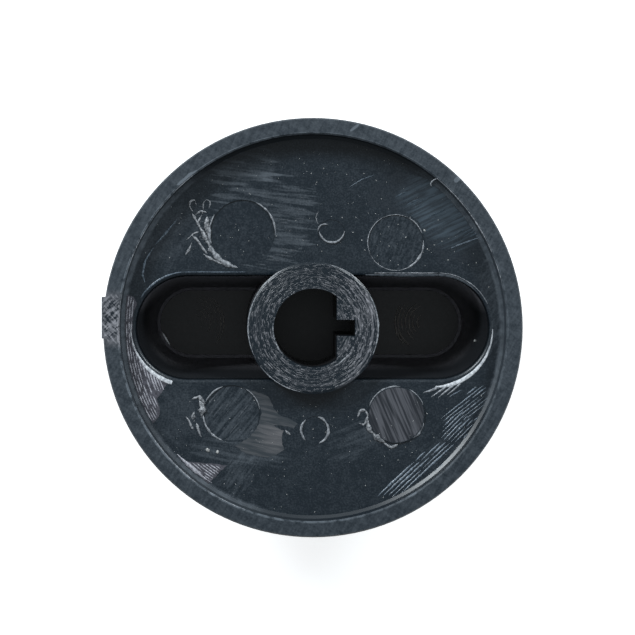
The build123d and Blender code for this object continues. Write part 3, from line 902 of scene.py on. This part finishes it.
rolled = [
    (
        (0.4, 1.0, 1.2, 1.0),
        on_level(ROLLED_HEIGHT, (5.4, ROLLED_EDGE), (9.0, ROLLED_EDGE), (12.8, ROLLED_EDGE)),
    ),
    ((1.0, 0.8, 0.3), arc((POCKET_CENTRE, 0), ROLLED_EDGE, 89, 30, ROLLED_HEIGHT, 0.1)),
]
raised_ridges("rolled_edge", rolled, 0.42, 0.09, rubbed_plastic, wander=0.05, taper=0.4, lumps=0.3)

# Burrs and painted highlights along the inner edge of the rim: the longest, a thin broken burr at the
# upper right, ends in a curl that hangs over the wall; the short pale ridges round the left side are a
# painted highlight of the edge
RIM_EDGE_RIDGE_RADIUS = RIM_INNER_RADIUS + 0.07
RIM_EDGE_RIDGE_HEIGHT = RIM_PLANE - 0.10
# Short ridges round the left side, whose pale colour is a painted highlight of the rim's inner edge
SHORT_EDGE_HIGHLIGHTS = (
    (128, 136, 0.9), (137, 146, 0.6), (148, 164, 0.7), (166, 176, 0.5), (212, 233, 0.8), (236, 250, 0.5),
)
burrs_and_highlights = [
    ((1.0, 0.6, 1.3, 0.7, 1.2, 1.4, 0.6, 1.0), arc(AXIS, RIM_EDGE_RIDGE_RADIUS, 50.5, 23, RIM_EDGE_RIDGE_HEIGHT)),
    (0.7, [(12.45, 15.1, 22.9), (12.1, 14.95, 22.9), (11.85, 14.65, 22.88), (11.95, 14.35, 22.85)]),
    ((0.5, 0.8, 0.4), arc(AXIS, RIM_EDGE_RIDGE_RADIUS, 22, 12, RIM_EDGE_RIDGE_HEIGHT)),
]
for first, last, weight in SHORT_EDGE_HIGHLIGHTS:
    burrs_and_highlights.append((weight, arc(AXIS, RIM_EDGE_RIDGE_RADIUS, first, last, RIM_EDGE_RIDGE_HEIGHT)))
raised_ridges("rim_burrs_and_highlights", burrs_and_highlights, 0.16, 0.045, whitened_and_highlight_plastic, wander=0.05, taper=0.6, lumps=0.4)

# Pocket bottom: the end of the steel core that forms the pocket was milled, and its arcs print faintly into
# the plastic. A shiny sliver lies loose at the left end.
ARC_RADII = (1.0, 1.5, 1.9, 2.3, 2.7, 3.1, 3.4)
SLIVER_HEIGHT = POCKET_FLOOR + 0.05
arcs = []
for radius in ARC_RADII:
    for centre, middle in ((POCKET_CENTRE, 175), (-POCKET_CENTRE, 20)):
        first, last = middle - draw.uniform(25, 70), middle + draw.uniform(25, 70)
        weight = draw.uniform(0.5, 1.0) if centre > 0 else draw.uniform(0.1, 0.35)
        arcs.append((weight, arc((centre, 0), radius, first, last, POCKET_FLOOR)))
# The arcs' pale colour is partly their own lighter tone and partly painted light that lifts them out of the
# pocket's shade
pocket_arc_painted_light = grainy_plastic(
    "pocket_arc_painted_light", (0.20, 0.18, 0.165), (0.42, 0.385, 0.35), 0.3, 0.4, 0.3
)
raised_ridges("pocket_arcs", arcs, 0.36, 0.03, pocket_arc_painted_light, wander=0.06, lumps=0.6)
sliver = [(1.0, on_level(SLIVER_HEIGHT, (-16.1, -1.05), (-15.7, -1.8), (-15.25, -2.45)))]
sliver_gloss, tree, position, shader = new_material("shiny_sliver")
grain = place_group(tree, grain_group, {"Position": position, "Grain": 0.3})
colour = blend_colours(tree, grain["Speckle"], (0.55, 0.56, 0.58, 1), (0.85, 0.86, 0.88, 1))
set_finish(tree, shader, colour, ramp(tree, grain["Cloud"], 0.3, 0.7, 0.20, 0.35))
shader.inputs["Metallic"].default_value = 0.7
raised_ridges("pocket_sliver", sliver, 0.34, 0.04, sliver_gloss, wander=0.05, lumps=0.4)

# Dust: pale grains and lint that lie loose on the well floor, most of them too small to tell apart.
# Place and size of the larger ones, and of one that clings to the pocket's wall.
DUST = (
    (5.2, 15.7, 0.16), (1.1, 16.2, 0.14), (0.4, 14.8, 0.12), (11.4, 9.9, 0.36), (6.4, 11.6, 0.14),
    (4.1, 9.7, 0.13), (5.0, 8.9, 0.12), (0.5, 8.4, 0.14), (-1.0, 8.9, 0.12), (1.9, 11.3, 0.12),
    (6.6, 7.3, 0.14), (7.8, 8.3, 0.13), (9.5, 9.2, 0.15), (16.7, 6.6, 0.15), (18.0, 4.1, 0.17),
    (11.7, 8.0, 0.16), (12.4, 8.4, 0.14), (13.2, 8.8, 0.13), (3.0, 11.2, 0.14), (4.4, 11.2, 0.13),
    (7.0, 13.1, 0.13), (5.4, -16.2, 0.16), (-10.75, -12.55, 0.50), (-9.75, -12.7, 0.46),
)
WALL_SPECK, WALL_SPECK_SIZE = (17.12, -1.6, 13.9), 0.3
DUST_COUNT = 340
FINE_DUST = (0.03, 0.11)
grain_tree = bpy.data.node_groups.new("dust grains", "GeometryNodeTree")
for label, kind in (("Places", "NodeSocketGeometry"), ("Material", "NodeSocketMaterial")):
    grain_tree.interface.new_socket(label, in_out="INPUT", socket_type=kind)
grain_tree.interface.new_socket("Grains", in_out="OUTPUT", socket_type="NodeSocketGeometry")
start = grain_tree.nodes.new("NodeGroupInput").outputs
end = grain_tree.nodes.new("NodeGroupOutput")
points = add_node(grain_tree, "GeometryNodeMeshToPoints", {"Mesh": start["Places"]}).outputs[0]
ball = add_node(grain_tree, "GeometryNodeMeshIcoSphere", {"Radius": 0.5, "Subdivisions": 1}).outputs[0]
spin = add_node(
    grain_tree, "FunctionNodeRandomValue", {"Min": (0, 0, 0), "Max": (6.28, 6.28, 6.28), "Seed": 5},
    data_type="FLOAT_VECTOR",
).outputs[0]
size = add_node(
    grain_tree, "GeometryNodeInputNamedAttribute", {"Name": "size"}, data_type="FLOAT_VECTOR"
).outputs["Attribute"]
grains = add_node(
    grain_tree, "GeometryNodeInstanceOnPoints",
    {"Points": points, "Instance": ball, "Rotation": spin, "Scale": size},
).outputs[0]
grains = add_node(grain_tree, "GeometryNodeRealizeInstances", {0: grains}).outputs[0]
grains = add_node(
    grain_tree, "GeometryNodeSetMaterial", {"Geometry": grains, "Material": start["Material"]}
).outputs[0]
grain_tree.links.new(grains, end.inputs[0])

dust_grey, tree, position, shader = new_material("dust")
grain = place_group(tree, grain_group, {"Position": position, "Grain": 0.1})
colour = blend_colours(tree, grain["Speckle"], (0.20, 0.205, 0.21, 1), (0.62, 0.62, 0.60, 1))
set_finish(tree, shader, colour, ramp(tree, grain["Speckle"], 0.3, 0.7, 0.7, 0.9))


def floor_under(x, y):
    """Height of the well floor or of the pin face at a place."""
    for (middle, reach), height in zip(PIN_EDGES, (SUNK_PIN, SUNK_PIN, SUNK_PIN, PROUD_PIN)):
        if math.dist((x, y), middle) < reach:
            return height
    return WELL_FLOOR


places, sizes = [], []
for x, y, size in DUST:
    places.append((x, y, floor_under(x, y)))
    sizes += [size, size * draw.uniform(0.7, 1.5), size * 0.6]
places.append(WALL_SPECK)
sizes += [WALL_SPECK_SIZE] * 3
while len(places) < DUST_COUNT:
    reach, turn = WELL_RADIUS * math.sqrt(draw.random()), draw.uniform(0, math.tau)
    x, y = reach * math.cos(turn), reach * math.sin(turn)
    if abs(y) > MOUTH_RADIUS + 0.4 and math.hypot(x, y) > HUB_RADIUS + 0.3:
        places.append((x, y, floor_under(x, y)))
        size = draw.uniform(*FINE_DUST)
        sizes += [size, size * draw.uniform(0.7, 2.0), size * 0.6]
mesh = bpy.data.meshes.new("dust_places")
mesh.from_pydata([tuple(value * MILLIMETRE for value in place) for place in places], [], [])
sizes = [value * MILLIMETRE for value in sizes]
mesh.attributes.new("size", "FLOAT_VECTOR", "POINT").data.foreach_set("vector", sizes)
source = bpy.data.objects.new("dust_places", mesh)
modifier = source.modifiers.new("grains", "NODES")
modifier.node_group = grain_tree
set_inputs(modifier, {"Material": dust_grey})
finish_piece(source, "dust_grains")

# Pointer: a line of white enamel filled into the groove in the grip's end face and wiped flush.
# It lies underneath, so it is seen only from below.
POINTER_START, POINTER_END = 4.9, 15.25
POINTER_HALF_WIDTH = 0.66
PAINT_BOTTOM, PAINT_TOP = 0.12, 0.4
outline = [point[:2] for point in arc((POINTER_END, 0), POINTER_HALF_WIDTH, -90, 90, 0)]
outline += [point[:2] for point in arc((POINTER_START, 0), POINTER_HALF_WIDTH, 90, 270, 0)]
enamel, tree, position, shader = new_material("white_enamel")
grain = place_group(tree, grain_group, {"Position": position, "Grain": 0.4})
colour = blend_colours(tree, grain["Cloud"], (0.62, 0.62, 0.59, 1), (0.80, 0.80, 0.78, 1))
set_finish(tree, shader, colour, ramp(tree, grain["Speckle"], 0.3, 0.7, 0.30, 0.45))
flat_plates("pointer_paint", (outline,), PAINT_BOTTOM, PAINT_TOP, enamel)

# Floor: a plain white table top, which the knob lies on face down. It is a hair lower than the knob's end
# face, so that the two don't share a plane, and it is clear when seen from below.
TABLE_SIZE = 3000.0
TABLE_DROP = 0.02
half, level = TABLE_SIZE / 2 * MILLIMETRE, -TABLE_DROP * MILLIMETRE
table = bpy.data.meshes.new("table")
corners = [(x * half, y * half, level) for x, y in ((-1, -1), (1, -1), (1, 1), (-1, 1))]
table.from_pydata(corners, [], [(0, 1, 2, 3)])
floor = bpy.data.objects.new("floor", table)
bpy.context.scene.collection.objects.link(floor)
floor_white, tree, position, shader = new_material("white_table")
shader.inputs["Base Color"].default_value = (0.80, 0.80, 0.80, 1)
shader.inputs["Roughness"].default_value = 0.9
shader.inputs["Specular IOR Level"].default_value = 0.0
path = add_node(tree, "ShaderNodeLightPath").outputs
seen = calc(tree, "MAXIMUM", path["Is Camera Ray"], path["Is Glossy Ray"])
seen = calc(tree, "MAXIMUM", seen, path["Is Transmission Ray"])
tree.links.new(product(tree, seen, 0.70), shader.inputs["Emission Strength"])
shader.inputs["Emission Color"].default_value = (1, 1, 1, 1)
from_below = add_node(tree, "ShaderNodeNewGeometry").outputs["Backfacing"]
tree.links.new(inverse(tree, from_below), shader.inputs["Alpha"])
table.materials.append(floor_white)

# Light: a room that is white at eye level and dim overhead, and two soft windows behind the knob.
# Their places are in millimetres, and their light is a little blue.
ROOM_WHITE = (0.88, 0.955, 1.0, 1)
WINDOW_WHITE = (0.89, 0.96, 1.0)
WINDOW_SIZE = 140.0
WINDOWS = (
    ("window_left", (-270.0, 290.0, 320.0), 1.8),
    ("window_right", (280.0, 300.0, 340.0), 1.3),
)
scene = bpy.context.scene
world = bpy.data.worlds.new("room")
world.use_nodes = True
scene.world = world
tree = world.node_tree
tree.nodes.clear()
direction = add_node(tree, "ShaderNodeTexCoord").outputs["Generated"]
_, depth, height = add_node(tree, "ShaderNodeSeparateXYZ", {0: direction}).outputs
brightness = ramp(tree, height, 0.0, 0.8, 0.5, 0.34)
brightness = product(tree, brightness, ramp(tree, depth, -0.9, 0.6, 0.45, 1.15))
background = add_node(tree, "ShaderNodeBackground", {"Color": ROOM_WHITE, "Strength": brightness})
tree.links.new(background.outputs[0], add_node(tree, "ShaderNodeOutputWorld").inputs[0])
for name, place, watts in WINDOWS:
    lamp = bpy.data.lights.new(name, "AREA")
    lamp.shape = "SQUARE"
    lamp.size = WINDOW_SIZE * MILLIMETRE
    lamp.energy = watts
    lamp.color = WINDOW_WHITE
    lamp_object = bpy.data.objects.new(name, lamp)
    lamp_object.location = [value * MILLIMETRE for value in place]
    aim = -lamp_object.location
    lamp_object.rotation_euler = aim.to_track_quat("-Z", "Y").to_euler()
    scene.collection.objects.link(lamp_object)

# Camera: almost straight above the knob, a little to the far left of its axis. It stands well back, so
# the knob's walls hardly show. Its lens follows from the width of the picture at the rim.
VIEW_DISTANCE = 260.0
FRAME_WIDTH = 64.19
AIM_POINT = (0.425, 1.07, RIM_PLANE)
EYE_POINT = (-5.0, 7.6, RIM_PLANE + VIEW_DISTANCE)
camera_data = bpy.data.cameras.new("camera")
camera_data.sensor_width = 36.0
camera_data.lens = camera_data.sensor_width * VIEW_DISTANCE / FRAME_WIDTH
camera_data.clip_start = 0.01
camera = bpy.data.objects.new("camera", camera_data)
camera.location = [value * MILLIMETRE for value in EYE_POINT]
lean_x = math.atan2(EYE_POINT[1] - AIM_POINT[1], VIEW_DISTANCE)
lean_y = math.atan2(AIM_POINT[0] - EYE_POINT[0], VIEW_DISTANCE)
camera.rotation_euler = (-lean_x, -lean_y, 0)
scene.collection.objects.link(camera)
scene.camera = camera
scene.view_settings.view_transform = "Standard"
